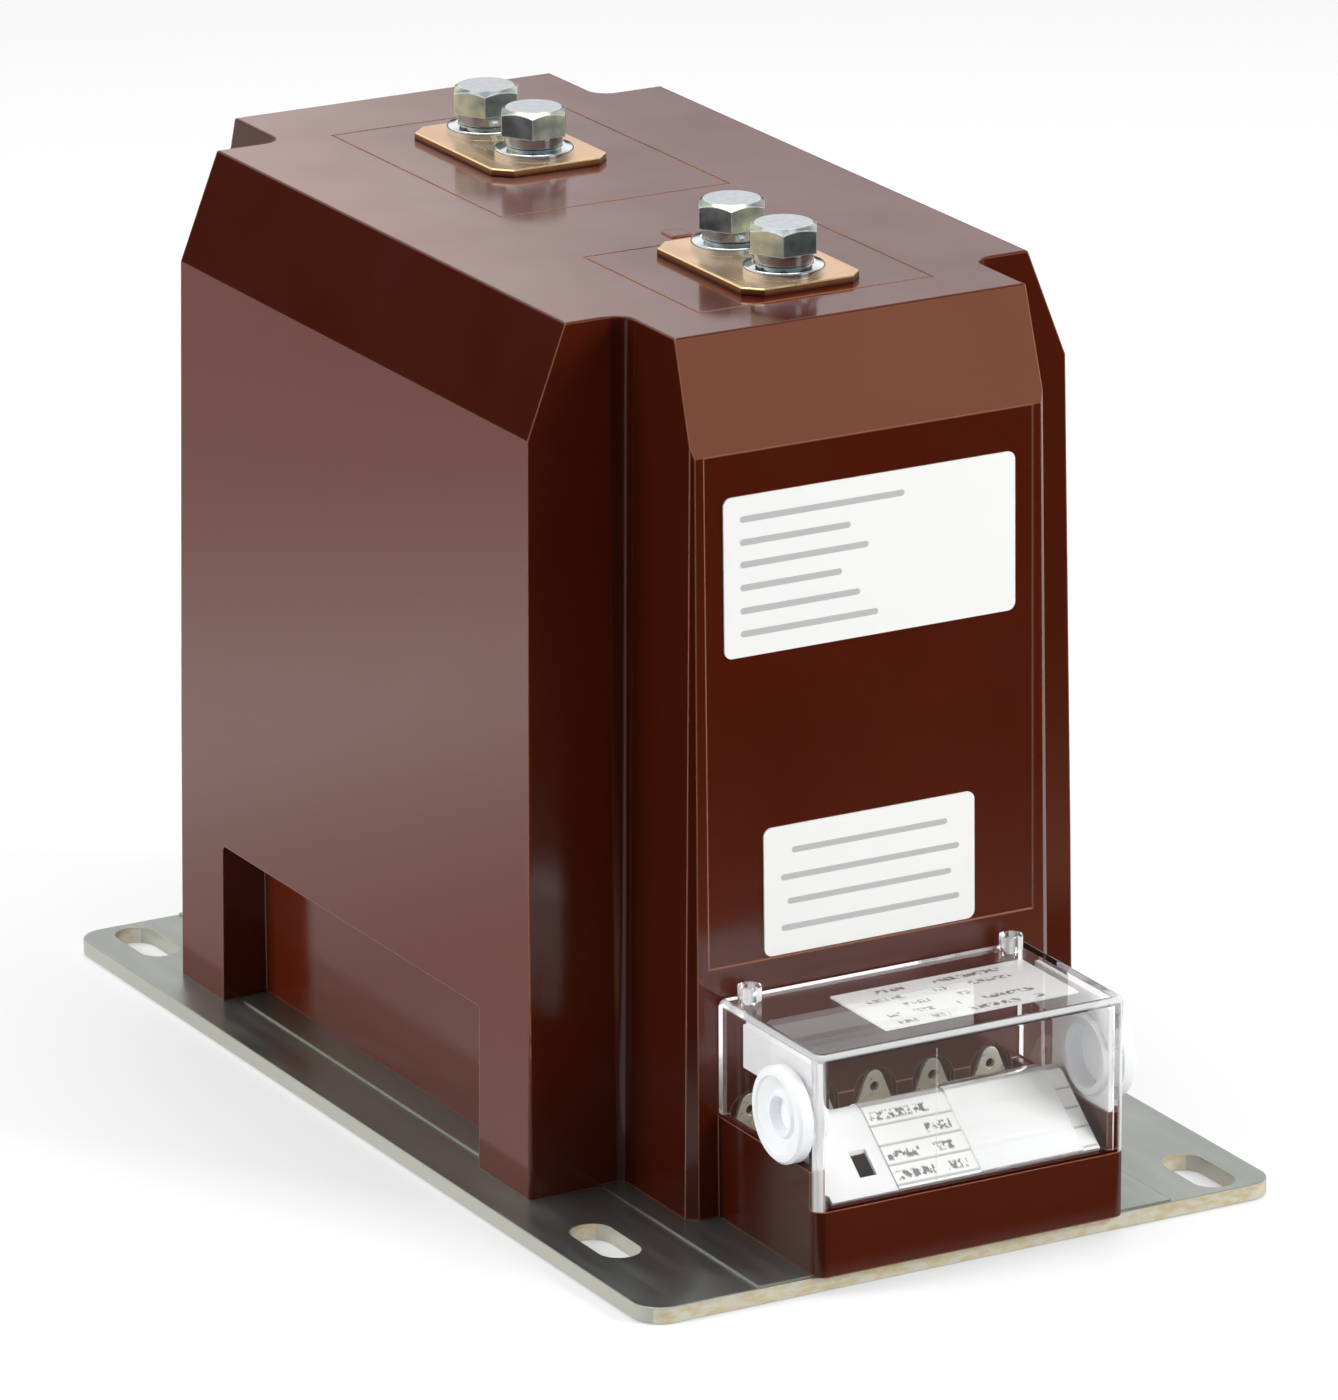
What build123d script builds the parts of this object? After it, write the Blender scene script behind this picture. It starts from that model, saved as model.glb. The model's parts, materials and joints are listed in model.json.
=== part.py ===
"""Cast resin block type instrument transformer, support mounted, for medium voltage switchgear.

Millimetres, +Z up. The terminal box faces -Y, the right hand side is +X, and the origin lies
under the middle of the overall footprint, on the surface that the base plate stands on.
"""
from build123d import *
import math
import os

# Base plate, with a slightly raised land under the casting
plate_width = 210.0
plate_rear_margin = 8.5
plate_thickness = 5.0
plate_corner_radius = 9.0
plate_edge_round = 0.6
land_rise = 0.6
land_beside_block = 8.0
land_beside_wing = 11.0
land_corner_radius = 6.0

# Fixing slots of the base plate, placed from its edges
slot_width = 13.0
slot_length = 29.0
slot_side_inset = 16.5
slot_rear_inset = 18.5
slot_front_left_inset = 54.5
slot_front_right_inset = 17.5

# Casting: two wide wings in the middle, a narrower block in front and one behind
body_height = 261.0
draft_angle = 0.8
chamfer_height = 33.0
wing_half_width = 89.0
wing_chamfer_run = 12.8
wing_front_reach = 86.5
wing_rear_reach = 132.5
wing_edge_radius = 1.2
front_half_width = 58.0
front_reach = 126.0
rear_half_width = 55.0
rear_reach = 173.5
block_chamfer_run = 10.4
block_corner_bevel = 3.0
root_radius = 2.5
crest_radius = 0.7

# Hollow in the foot of each wing, which leaves room beside the fixing slots
recess_depth = 15.0
recess_height = 50.0
recess_front = 58.5
recess_rear = 107.0
recess_corner_radius = 2.0

# Witness lines that the mould inserts leave in the casting
line_width = 0.5
line_depth = 0.3
field_half_width = 38.3
front_field_near = 96.0
front_field_far = 28.0
rear_field_near = 22.0
rear_field_far = 130.0
mark_size = 6.5
mark_rise = 0.5
mark_offset = (-3.0, -19.5)
panel_half_width = 54.0
panel_bottom = 81.0
panel_depth = 0.3

# Primary terminal bars, cast into the top of the resin
bar_width = 39.0
bar_length = 59.0
bar_proud = 2.5
bar_depth = 25.0
bar_corner_chamfer = 5.0
bar_edge_chamfer = 0.4
front_bar_y = -62.0
rear_bar_y = 88.0

# Primary fasteners: M12 hexagon screws with spring lock and plain washers
bolt_spacing = 30.0
bolt_diameter = 12.0
bolt_length = 30.0
bolt_across_flats = 19.0
bolt_head_height = 8.0
bolt_crown_diameter = 16.6
bolt_crown_angle = 30.0
bolt_tip_chamfer = 1.0
bolt_hole_clearance = 0.2
bolt_hole_run_out = 2.0
plain_washer_diameter = 24.0
plain_washer_thickness = 3.0
plain_washer_rim = 2.2
plain_washer_land = 9.2
plain_washer_round = 0.7
lock_washer_diameter = 17.4
lock_washer_height = 3.5
lock_washer_round = 0.6
lock_washer_gap = 1.6
lock_washer_slant = 25.0
washer_bore_clearance = 0.6

# Terminal box: resin tray with a cavity, open at its front above the sill
box_half_width = 51.5
box_depth = 56.0
box_overhang = 2.5
box_corner_radius = 4.0
box_side_height = 31.5
box_sill_height = 20.0
box_wall = 5.0
box_sill_wall = 6.5
box_floor_height = 13.0
box_sill_step = 4.0
box_root_overlap = 5.0

# Clear cover of the terminal box
cover_top_height = 67.0
cover_wall = 3.0
cover_round = 2.2
cover_inner_round = 0.8
cover_rear_gap = 0.4
post_side_inset = 7.9
post_rear_inset = 4.1
post_diameter = 7.0
post_bore = 4.4
post_height = 4.2

# Cable entries in both sides of the cover
entry_front_inset = 15.8
entry_height = 45.5
entry_neck_diameter = 22.0
entry_clearance = 0.4
grommet_diameter = 28.5
grommet_flange = 4.4
grommet_lip_diameter = 24.6
grommet_lip = 1.6
grommet_lip_slope = 0.8
grommet_wall = 1.5
grommet_membrane = 1.0
grommet_ring_diameter = 13.0
grommet_ring_width = 1.6
grommet_ring_drop = 1.2
grommet_dish_drop = 2.2
grommet_rim_width = 1.7
grommet_rim_round = 0.9
grommet_step = 0.6
entry_plate_thickness = 1.5
entry_plate_front_gap = 1.2
entry_plate_length = 31.0
entry_plate_top_gap = 1.0
entry_tongue = (9.0, 13.0)

# Secondary terminals along the rear wall of the box
terminal_count = 5
terminal_side_gap = 1.5
pocket_width = 14.0
pocket_depth = 2.0
pocket_top_height = 37.0
tab_width = 12.0
tab_thickness = 1.5
tab_top_gap = 0.8
tab_tip_radius = 2.8
tab_shoulder_drop = 10.0
tab_foot = 17.0
tab_eye_diameter = 3.0
tab_eye_drop = 5.0
terminal_screw_offset = 10.0
terminal_screw_diameter = 5.0
terminal_screw_length = 10.0
terminal_head_diameter = 9.2
terminal_head_height = 3.4
terminal_head_round = 1.0
terminal_slot_width = 1.2
terminal_slot_depth = 1.5
terminal_washer_diameter = 10.0
terminal_washer_thickness = 1.0
terminal_insert_diameter = 8.0
terminal_insert_length = 11.0
terminal_insert_end_room = 0.5

# White lectern in the box with its marking strip, the strip's window and the card above
lectern_side_gap = 2.0
lectern_rear_offset = 22.0
lectern_round = 6.0
lectern_rise = 38.5
lectern_front_gap = 2.0
lectern_wall = 1.2
lectern_hole = (5.5, 7.0)
lectern_hole_inset = (14.7, 12.6)
strip_side_inset = 0.5
strip_length = 66.5
strip_thickness = 0.4
window_side_inset = 6.0
window_length = 34.0
window_thickness = 0.9
window_air = 0.05
card_side_inset = 5.5
card_length = 64.0
card_front_inset = 13.5
card_rear_inset = 11.0
card_thickness = 0.6
card_air = 0.05

# Blank plates on the front face
rating_plate_size = (96.0, 47.5)
rating_plate_centre = (0.0, 196.5)
small_plate_size = (70.0, 38.6)
small_plate_centre = (-0.8, 101.0)
label_thickness = 0.5
label_corner_radius = 2.5

# Countersunk screws that hold the base plate to inserts in the casting
base_screw_x = 42.0
base_screw_y = (-98.0, 22.0, 142.0)
base_screw_diameter = 8.0
base_screw_length = 20.0
base_screw_head_diameter = 15.2
base_screw_head_sunk = 0.3
base_screw_socket = 5.0
base_insert_diameter = 14.0
base_insert_length = 20.0
base_insert_groove = 1.0
base_insert_end_room = 1.0
insert_groove_places = (0.35, 0.7)
fit_clearance = 0.2

# Sizes and places that follow from the ones above
body_top = plate_thickness + body_height
chamfer_level = body_top - chamfer_height
draft = math.tan(math.radians(draft_angle))
base_growth = draft * (chamfer_level - plate_thickness)
box_front = -(front_reach + base_growth + box_depth)
box_inner_half = box_half_width - box_wall
plate_front = box_front + box_overhang
plate_rear = rear_reach + base_growth + plate_rear_margin
plate_length = plate_rear - plate_front
plate_centre_y = (plate_front + plate_rear) / 2.0
bar_top = body_top + bar_proud
bolt_seat = bar_top + plain_washer_thickness + lock_washer_height
box_side_top = plate_thickness + box_side_height
box_sill_top = plate_thickness + box_sill_height
box_floor = plate_thickness + box_floor_height
cover_top = plate_thickness + cover_top_height
cover_rear = -(front_reach + draft * (chamfer_level - box_side_top)) - cover_rear_gap
entry_y = box_front + entry_front_inset
entry_z = plate_thickness + entry_height
land_top = plate_thickness + land_rise
terminal_reach = box_inner_half - terminal_side_gap - tab_width / 2.0
terminal_pitch = 2.0 * terminal_reach / (terminal_count - 1)
terminal_xs = [-terminal_reach + terminal_pitch * i for i in range(terminal_count)]
lectern_half_width = box_inner_half - lectern_side_gap
strip_right = lectern_half_width - strip_side_inset
window_right = lectern_half_width - window_side_inset
card_right = box_half_width - cover_wall - card_side_inset
tiny = 0.01
overrun = 1.0
far = 400.0


def wall_at(reach, level):
    """Distance of a drafted wall from the middle at a height; reach is given at the chamfer."""
    return reach + draft * (chamfer_level - level)


front_face = Plane(
    origin=(0, -front_reach, chamfer_level),
    x_dir=(1, 0, 0),
    z_dir=(0, -math.cos(math.radians(draft_angle)), math.sin(math.radians(draft_angle))),
)


def block(x_range, y_range, z_range):
    """A box given by its limits along the three axes."""
    size = [high - low for low, high in (x_range, y_range, z_range)]
    middle = [(high + low) / 2.0 for low, high in (x_range, y_range, z_range)]
    return Pos(*middle) * Box(*size)


def post(x, y, z_low, z_high, diameter):
    """An upright round bar between two heights."""
    return Pos(x, y, (z_low + z_high) / 2.0) * Cylinder(diameter / 2.0, z_high - z_low)


def extruded(sketch, z_low, z_high, taper=0.0):
    """A flat outline raised from one height to another."""
    return extrude(Pos(0, 0, z_low) * sketch, amount=z_high - z_low, dir=(0, 0, 1), taper=taper)


def rounded_rectangle(width, length, radius, x=0.0, y=0.0):
    """A flat rectangle with rounded corners about a centre."""
    return Pos(x, y) * RectangleRounded(width, length, radius)


def land_outline():
    """Outline of the raised land: it follows the casting's foot and runs to the plate's ends."""
    block_width = 2.0 * (wall_at(front_half_width, plate_thickness) + land_beside_block)
    wing_width = 2.0 * (wall_at(wing_half_width, plate_thickness) - recess_depth + land_beside_wing)
    lengthways = Pos(0, plate_centre_y) * Rectangle(block_width, plate_length)
    across = rounded_rectangle(
        wing_width, recess_front + recess_rear, land_corner_radius, 0, (recess_rear - recess_front) / 2.0
    )
    outline = lengthways + across
    return outline & rounded_rectangle(plate_width, plate_length, plate_corner_radius, 0, plate_centre_y)


def slot_centres():
    """Middle of each of the four fixing slots."""
    side = plate_width / 2.0 - slot_side_inset
    return [
        (-side, plate_front + slot_front_left_inset),
        (side, plate_front + slot_front_right_inset),
        (-side, plate_rear - slot_rear_inset),
        (side, plate_rear - slot_rear_inset),
    ]


def base_screw_places():
    """Middle of each screw that holds the base plate."""
    return [(side * base_screw_x, y) for y in base_screw_y for side in (-1, 1)]


def base_plate():
    """Zinc plated steel plate with four slots, a pressed land and countersunk holes below."""
    outline = rounded_rectangle(plate_width, plate_length, plate_corner_radius, 0, plate_centre_y)
    plate = extruded(outline, 0, plate_thickness)
    rims = plate.faces().sort_by(Axis.Z)[0].edges() + plate.faces().sort_by(Axis.Z)[-1].edges()
    plate = fillet(rims, plate_edge_round)
    land = extruded(offset(land_outline(), -plate_edge_round), plate_thickness - tiny, land_top)
    plate = plate + land
    for x, y in slot_centres():
        slot = Pos(x, y) * Rot(0, 0, 90) * SlotOverall(slot_length, slot_width)
        plate = plate - extruded(slot, -overrun, land_top + overrun)
    for x, y in base_screw_places():
        plate = plate - base_screw_room(x, y)
    return plate


def base_screw_room(x, y):
    """Hole and countersink for one base screw."""
    head_radius = base_screw_head_diameter / 2.0 + fit_clearance
    hole_radius = base_screw_diameter / 2.0 + fit_clearance
    cone_height = head_radius - hole_radius
    hole = post(x, y, -overrun, land_top + overrun, 2.0 * hole_radius)
    mouth = post(x, y, -overrun, base_screw_head_sunk, 2.0 * head_radius)
    cone = Cone(head_radius, hole_radius, cone_height)
    return hole + mouth + Pos(x, y, base_screw_head_sunk + cone_height / 2.0) * cone


def base_screw(x, y):
    """Countersunk screw with a hexagon socket, driven from below."""
    head_radius = base_screw_head_diameter / 2.0
    shank_radius = base_screw_diameter / 2.0
    cone_height = head_radius - shank_radius
    low = base_screw_head_sunk
    cone = Pos(x, y, low + cone_height / 2.0) * Cone(head_radius, shank_radius, cone_height)
    shank = post(x, y, low + cone_height - tiny, low + base_screw_length, base_screw_diameter)
    socket = RegularPolygon(base_screw_socket / 2.0, 6, major_radius=False)
    cut = Pos(x, y, 0) * extruded(socket, low - overrun, low + base_screw_socket / 2.0)
    return cone + shank - cut


def grooved_insert(x, y, z_low, z_high, diameter, groove):
    """Outside of a brass insert with two rings that key it into the resin."""
    insert = post(x, y, z_low, z_high, diameter)
    length = z_high - z_low
    for share in insert_groove_places:
        ring = Pos(x, y, z_low + share * length) * Torus(diameter / 2.0, groove / 2.0)
        insert = insert - ring
    return insert


def base_insert_outside(x, y):
    high = land_top + base_insert_length
    return grooved_insert(x, y, land_top, high, base_insert_diameter, base_insert_groove)


def base_insert(x, y):
    """Threaded insert for a base screw, closed at its top."""
    bore_top = base_screw_head_sunk + base_screw_length + base_insert_end_room
    bore = post(x, y, land_top - overrun, bore_top, base_screw_diameter + fit_clearance)
    return base_insert_outside(x, y) - bore


def terminal_insert_outside(x):
    y = terminal_screw_y()
    low = box_floor - terminal_insert_length
    return grooved_insert(x, y, low, box_floor, terminal_insert_diameter, base_insert_groove)


def terminal_insert(x):
    """Threaded insert under one secondary terminal."""
    screw_tip = box_floor + tab_thickness + terminal_washer_thickness - terminal_screw_length
    bore_low = screw_tip - terminal_insert_end_room
    bore_diameter = terminal_screw_diameter + fit_clearance
    bore = post(x, terminal_screw_y(), bore_low, box_floor + overrun, bore_diameter)
    return terminal_insert_outside(x) - bore


def pocket_back():
    """Flat back of the arched terminal pockets."""
    return -wall_at(front_reach, box_floor) + pocket_depth


def terminal_screw_y():
    return pocket_back() - tab_thickness - terminal_screw_offset


def footprint():
    """Plan of the casting at its foot: wings, front block and rear block in one outline."""
    grow = base_growth
    wing_ends = (-wing_front_reach - grow, wing_rear_reach + grow)
    wing_size = (2.0 * (wing_half_width + grow), wing_ends[1] - wing_ends[0])
    front_size = (2.0 * (front_half_width + grow), front_reach + grow)
    rear_size = (2.0 * (rear_half_width + grow), rear_reach + grow)
    outline = Pos(0, sum(wing_ends) / 2.0) * Rectangle(*wing_size)
    outline = outline + Pos(0, -front_size[1] / 2.0) * Rectangle(*front_size)
    outline = outline + Pos(0, rear_size[1] / 2.0) * Rectangle(*rear_size)
    ends = [v for v in outline.vertices() if v.Y < wing_ends[0] - tiny or v.Y > wing_ends[1] + tiny]
    outline = chamfer(ends, block_corner_bevel)
    tips = [v for v in outline.vertices() if abs(v.X) > wing_half_width]
    outline = fillet(tips, wing_edge_radius)
    corners = [v for v in outline.vertices() if min(abs(v.Y - end) for end in wing_ends) < tiny]
    roots = [v for v in corners if abs(v.X) < wing_half_width - 2.0 * wing_edge_radius]
    return fillet(roots, root_radius)


def chamfer_wedge(reach, run):
    """Wedge that cuts one sloped top edge; it lies along Y, on the +X side."""
    slope = run / chamfer_height
    low = chamfer_level - chamfer_height
    high = body_top + chamfer_height
    profile = make_face(
        Polyline(
            (reach + slope * chamfer_height, low),
            (reach - slope * 2.0 * chamfer_height, high),
            (far, high),
            (far, low),
            close=True,
        )
    )
    return extrude(Plane.XZ * profile, amount=far, both=True)


def wing_recess(side):
    """Room cut from the foot of one wing."""
    inner = wall_at(wing_half_width, plate_thickness) - recess_depth
    top = plate_thickness + recess_height
    room = block((inner, inner + far), (-recess_front, recess_rear), (-overrun, top))
    corner = room.edges().filter_by(Axis.X).sort_by(Axis.Z)[-2:]
    room = fillet(corner, recess_corner_radius)
    return room if side > 0 else mirror(room, about=Plane.YZ)


def field_lines():
    """Fine grooves round the two fields that carry the terminal bars."""
    grooves = []
    fields = [(-front_field_near, -front_field_far), (rear_field_near, rear_field_far)]
    for low, high in fields:
        middle = (low + high) / 2.0
        ring = Rectangle(2.0 * field_half_width + line_width, high - low + line_width)
        ring = ring - Rectangle(2.0 * field_half_width - line_width, high - low - line_width)
        grooves.append(Pos(0, middle) * extruded(ring, body_top - line_depth, body_top + overrun))
    return grooves


def front_panel():
    """Shallow field in the front face that takes the two plates."""
    up = (chamfer_level - panel_bottom) / math.cos(math.radians(draft_angle))
    field = Box(2.0 * panel_half_width, up, panel_depth + overrun)
    return front_face * Pos(0, -up / 2.0, (overrun - panel_depth) / 2.0) * field


def box_tray():
    """Resin tray of the terminal box before its cavity is cut."""
    rear = -wall_at(front_reach, box_side_top) + box_root_overlap
    outline = Pos(0, (box_front + rear) / 2.0) * Rectangle(2.0 * box_half_width, rear - box_front)
    outline = fillet([v for v in outline.vertices() if v.Y < box_front + tiny], box_corner_radius)
    tray = extruded(outline, plate_thickness, box_side_top)
    step = (box_front - overrun, box_front + box_sill_step)
    return tray - block((-far, far), step, (box_sill_top, box_side_top + overrun))


def box_cavity():
    """Hollow of the tray, from the front face of the casting to the sill and out over it."""
    width = (-box_inner_half, box_inner_half)
    rear = -wall_at(front_reach, box_floor)
    open_top = box_side_top + overrun
    deep = block(width, (box_front + box_sill_wall, rear), (box_floor, open_top))
    return deep + block(width, (box_front - overrun, rear), (box_sill_top, open_top))


def terminal_pocket(x):
    """Arched pocket in the rear wall of the box for one terminal."""
    radius = pocket_width / 2.0
    crown = plate_thickness + pocket_top_height - radius
    arch = Pos(x, (crown + box_floor) / 2.0) * Rectangle(pocket_width, crown - box_floor)
    arch = arch + Pos(x, crown) * Circle(radius)
    pocket = extrude(Plane.XZ * arch, amount=pocket_depth + overrun)
    return Pos(0, pocket_back(), 0) * pocket


def bar_outline():
    return chamfer(Rectangle(bar_width, bar_length).vertices(), bar_corner_chamfer)


def resin_body():
    """The casting: drafted plan, sloped top edges, recesses, terminal box and cast-in seats."""
    body = extruded(footprint(), plate_thickness, body_top, taper=draft_angle)
    for turn, reach, run in (
        (0, wing_half_width, wing_chamfer_run),
        (180, wing_half_width, wing_chamfer_run),
        (-90, front_reach, block_chamfer_run),
        (90, rear_reach, block_chamfer_run),
    ):
        body = body - Rot(0, 0, turn) * chamfer_wedge(reach, run)
    crest = body.faces().sort_by(Axis.Z)[-1].edges()
    body = fillet(crest, crest_radius)
    body = body + box_tray()
    cuts = [wing_recess(-1), wing_recess(1), box_cavity(), front_panel()]
    cuts += field_lines()
    cuts += [terminal_pocket(x) for x in terminal_xs]
    cuts += [terminal_insert_outside(x) for x in terminal_xs]
    cuts += [base_insert_outside(x, y) for x, y in base_screw_places()]
    cuts += [extruded(land_outline(), 0, land_top)]
    for y in (front_bar_y, rear_bar_y):
        cuts.append(Pos(0, y) * extruded(bar_outline(), body_top - bar_depth, body_top + overrun))
    for cut in cuts:
        body = body - cut
    mark = extruded(Rectangle(mark_size, mark_size), body_top - tiny, body_top + mark_rise)
    return body + Pos(*mark_offset, 0) * mark


def primary_bar(y):
    """Terminal bar with bevelled corners and two tapped holes."""
    bar = extruded(bar_outline(), body_top - bar_depth, bar_top)
    bar = chamfer(bar.faces().sort_by(Axis.Z)[-1].edges(), bar_edge_chamfer)
    low = bolt_seat - bolt_length - bolt_hole_run_out
    for dy in (-bolt_spacing / 2.0, bolt_spacing / 2.0):
        bar = bar - post(0, dy, low, bar_top + overrun, bolt_diameter + bolt_hole_clearance)
    return Pos(0, y, 0) * bar


def bolt_places(y):
    return [(0, y - bolt_spacing / 2.0), (0, y + bolt_spacing / 2.0)]


def hexagon_bolt(x, y):
    """M12 hexagon screw whose head is turned down to a round crown."""
    outline = RegularPolygon(bolt_across_flats / 2.0, 6, major_radius=False)
    hexagon = extruded(outline, 0, bolt_head_height)
    crown_radius = bolt_crown_diameter / 2.0
    corner_radius = bolt_across_flats / math.sqrt(3.0) + overrun
    drop = (corner_radius - crown_radius) * math.tan(math.radians(bolt_crown_angle))
    turning = make_face(
        Polyline(
            (0, 0), (corner_radius, 0), (corner_radius, bolt_head_height - drop),
            (crown_radius, bolt_head_height), (0, bolt_head_height), close=True,
        )
    )
    head = hexagon & revolve(Plane.XZ * turning, Axis.Z)
    shank = post(0, 0, -bolt_length, tiny, bolt_diameter)
    shank = chamfer(shank.faces().sort_by(Axis.Z)[0].edges(), bolt_tip_chamfer)
    return Pos(x, y, bolt_seat) * (head + shank)


def plain_washer(x, y):
    """M12 washer that rises from its softened rim to the land under the lock washer."""
    bore = (bolt_diameter + washer_bore_clearance) / 2.0
    outer = plain_washer_diameter / 2.0
    section = make_face(
        Polyline(
            (bore, 0), (outer, 0), (outer, plain_washer_rim),
            (plain_washer_land, plain_washer_thickness), (bore, plain_washer_thickness), close=True,
        )
    )
    washer = revolve(Plane.XZ * section, Axis.Z)
    rim = washer.edges().filter_by(GeomType.CIRCLE).filter_by(lambda edge: edge.radius > outer - tiny)
    washer = fillet(rim.sort_by(Axis.Z)[-1], plain_washer_round)
    return Pos(x, y, bar_top) * washer


def lock_washer(x, y):
    """Split spring washer, slit on a slant on the side away from the terminal box."""
    ring = post(0, 0, 0, lock_washer_height, lock_washer_diameter)
    ring = fillet(ring.edges().filter_by(GeomType.CIRCLE), lock_washer_round)
    bore_diameter = bolt_diameter + washer_bore_clearance
    ring = ring - post(0, 0, -overrun, lock_washer_height + overrun, bore_diameter)
    slit = Box(lock_washer_gap, lock_washer_diameter, 3.0 * lock_washer_height)
    slit = Rot(0, lock_washer_slant, 0) * slit
    slit = Pos(0, lock_washer_diameter / 2.0, lock_washer_height / 2.0) * slit
    return Pos(x, y, bar_top + plain_washer_thickness) * (ring - slit)


def cover_outline(inset):
    """Plan of the cover, open towards the casting."""
    front = box_front + inset
    half = box_half_width - inset
    outline = Pos(0, (front + cover_rear) / 2.0) * Rectangle(2.0 * half, cover_rear - front)
    corners = [v for v in outline.vertices() if v.Y < front + tiny]
    return fillet(corners, max(box_corner_radius - inset, cover_inner_round))


def entry_slot():
    """Slot in a side wall of the cover, open below, so that the cover lifts off the grommets."""
    radius = entry_neck_diameter / 2.0 + entry_clearance
    slot = Pos(entry_y, entry_z) * Circle(radius)
    low = box_side_top - overrun
    slot = slot + Pos(entry_y, (entry_z + low) / 2.0) * Rectangle(2.0 * radius, entry_z - low)
    return extrude(Plane.YZ * slot, amount=far, both=True)


def terminal_cover():
    """Clear moulded cover with stepped skirts and two hollow sealing posts."""
    shell = extruded(cover_outline(0.0), box_sill_top, cover_top)
    rim = shell.faces().sort_by(Axis.Z)[-1].edges()
    rim = [edge for edge in rim if edge.center().Y < cover_rear - tiny]
    shell = fillet(rim, cover_round)
    inside = extruded(cover_outline(cover_wall), 0, cover_top - cover_wall)
    inside = inside + Pos(0, cover_wall + overrun, 0) * inside
    shell = shell - inside
    shell = shell - block((-far, far), (box_front + box_sill_step, far), (0, box_side_top))
    shell = shell - entry_slot()
    for side in (-1, 1):
        x = side * (box_half_width - post_side_inset)
        y = cover_rear - post_rear_inset
        shell = shell + post(x, y, cover_top - cover_wall / 2.0, cover_top + post_height, post_diameter)
        bore = (cover_top - cover_wall - overrun, cover_top + post_height + overrun)
        shell = shell - post(x, y, *bore, post_bore)
    return shell


def entry_plate():
    """White plate behind the right hand cable entry, with a tongue towards the casting."""
    outer = box_half_width - cover_wall
    thick = (outer - entry_plate_thickness, outer)
    front = box_front + cover_wall + entry_plate_front_gap
    rear = front + entry_plate_length
    top = cover_top - cover_wall - entry_plate_top_gap
    plate = block(thick, (front, rear), (box_side_top, top))
    plate = plate + block(thick, (front, rear + entry_tongue[0]), (top - entry_tongue[1], top))
    hole = Plane.YZ * (Pos(entry_y, entry_z) * Circle(entry_neck_diameter / 2.0 + entry_clearance))
    return plate - extrude(hole, amount=far)


def grommet():
    """Dished blind grommet of the right hand cable entry, turned about its own axis."""
    wall_in = -cover_wall - entry_plate_thickness
    lip_end = wall_in - grommet_lip
    outer = grommet_diameter / 2.0
    neck = entry_neck_diameter / 2.0
    lip = grommet_lip_diameter / 2.0
    ring = grommet_ring_diameter / 2.0
    ring_top = grommet_flange - grommet_ring_drop
    rim = outer - grommet_rim_round - grommet_rim_width
    behind = [
        (wall_in, neck),
        (wall_in, lip),
        (lip_end, lip - grommet_lip_slope),
        (lip_end, neck - grommet_wall),
        (-grommet_membrane, neck - grommet_wall - grommet_step),
        (-grommet_membrane, 0),
    ]
    dish = [
        (0, 0),
        (0, ring - grommet_ring_width),
        (ring_top, ring - grommet_ring_width + grommet_step),
        (ring_top, ring),
        (grommet_flange - grommet_dish_drop, ring + grommet_step),
        (grommet_flange - grommet_step, rim - grommet_step),
        (grommet_flange, rim),
        (grommet_flange, outer - grommet_rim_round),
        (grommet_flange - grommet_rim_round, outer),
        (0, outer),
        (0, neck),
    ]
    half = make_face(Polyline(*behind, *dish, close=True))
    turned = revolve(half, Axis.X)
    return Pos(box_half_width, entry_y, entry_z) * turned


def tab_leg(x, top):
    """Outline of a tab's leg, which slopes from its shoulders to a small round tip."""
    half = tab_width / 2.0
    shoulder = top - tab_shoulder_drop
    centre = top - tab_tip_radius
    reach = math.hypot(half, centre - shoulder)
    turn = math.acos(tab_tip_radius / reach) - math.atan2(centre - shoulder, half)
    across, up = tab_tip_radius * math.cos(turn), centre + tab_tip_radius * math.sin(turn)
    outline = make_face(
        Polyline(
            (x - half, box_floor), (x + half, box_floor), (x + half, shoulder), (x + across, up),
            (x - across, up), (x - half, shoulder), close=True,
        )
    )
    return outline + Pos(x, centre) * Circle(tab_tip_radius)


def terminal_tab(x):
    """Plated angle of one terminal: a leg in its arched pocket and a foot under the screw."""
    leg_top = plate_thickness + pocket_top_height - tab_top_gap
    half = tab_width / 2.0
    leg = tab_leg(x, leg_top)
    leg = leg - Pos(x, leg_top - tab_eye_drop) * Circle(tab_eye_diameter / 2.0)
    leg = Pos(0, pocket_back(), 0) * extrude(Plane.XZ * leg, amount=tab_thickness)
    along = (pocket_back() - tab_foot, pocket_back())
    foot = block((x - half, x + half), along, (box_floor, box_floor + tab_thickness))
    hole_range = (box_floor - overrun, box_floor + tab_thickness + overrun)
    hole_diameter = terminal_screw_diameter + 2.0 * fit_clearance
    return leg + foot - post(x, terminal_screw_y(), *hole_range, hole_diameter)


def terminal_washer(x):
    low = box_floor + tab_thickness
    high = low + terminal_washer_thickness
    y = terminal_screw_y()
    bore_diameter = terminal_screw_diameter + 2.0 * fit_clearance
    ring = post(x, y, low, high, terminal_washer_diameter)
    return ring - post(x, y, low - overrun, high + overrun, bore_diameter)


def terminal_screw(x):
    """Slotted pan head screw of one secondary terminal."""
    y = terminal_screw_y()
    seat = box_floor + tab_thickness + terminal_washer_thickness
    top = seat + terminal_head_height
    head = post(x, y, seat, top, terminal_head_diameter)
    head = fillet(head.faces().sort_by(Axis.Z)[-1].edges(), terminal_head_round)
    shank = post(x, y, seat - terminal_screw_length, seat + tiny, terminal_screw_diameter)
    half = terminal_slot_width / 2.0
    reach = terminal_head_diameter / 2.0 + overrun
    depth = (top - terminal_slot_depth, top + overrun)
    return head + shank - block((x - half, x + half), (y - reach, y + reach), depth)


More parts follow.
